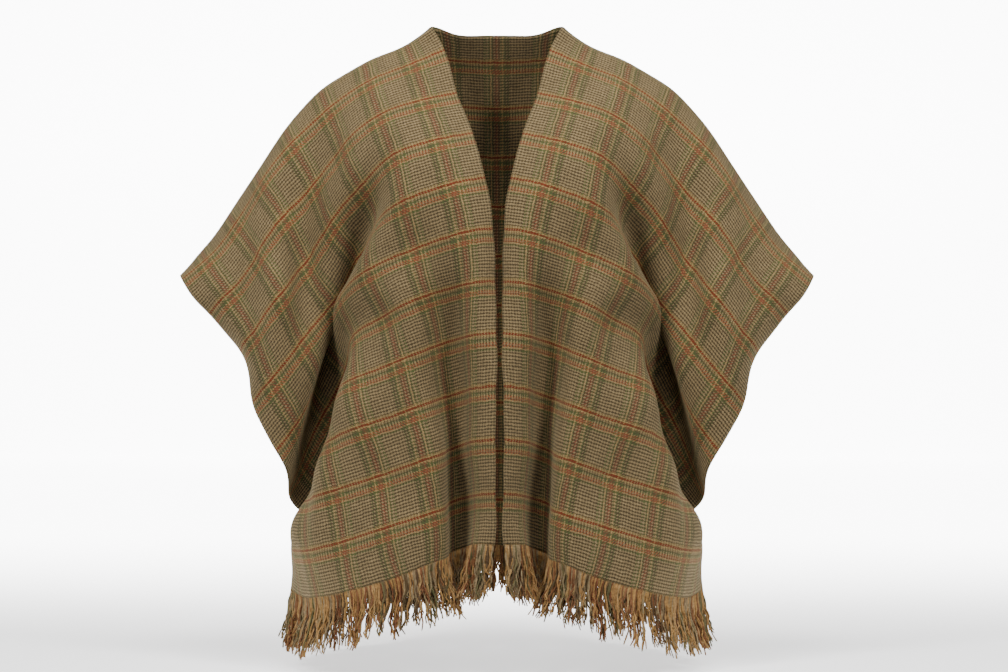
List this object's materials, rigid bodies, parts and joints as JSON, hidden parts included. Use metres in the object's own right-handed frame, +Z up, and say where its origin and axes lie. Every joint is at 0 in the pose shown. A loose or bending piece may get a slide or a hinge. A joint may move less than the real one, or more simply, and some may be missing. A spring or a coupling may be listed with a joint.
{
  "type": "open-front cape",
  "caption": "Open-front wrap cape of checked woven wool with wide draped sleeves, sewn side seams and a fringed hem.",
  "frame": {"origin": "between the two shoulder seams at their neck ends, where the garment rests on the shoulders", "axes": "+Z up, the open front faces -Y, +X to the right as seen from the front"},
  "size_m": [0.7936, 0.3485, 0.7735],
  "materials": {
    "tweed": "woven wool twill in an olive and taupe glen check with a rust overcheck, matt and slightly hairy",
    "fringe_yarn": "loose wool yarns in tan, rust, brown and olive locks, matt"
  },
  "bodies": {
    "root": {"front_left": "tweed", "front_right": "tweed", "back": "tweed", "fringe_front_left": "fringe_yarn", "fringe_front_right": "fringe_yarn", "fringe_back": "fringe_yarn"}
  },
  "joints": []
}
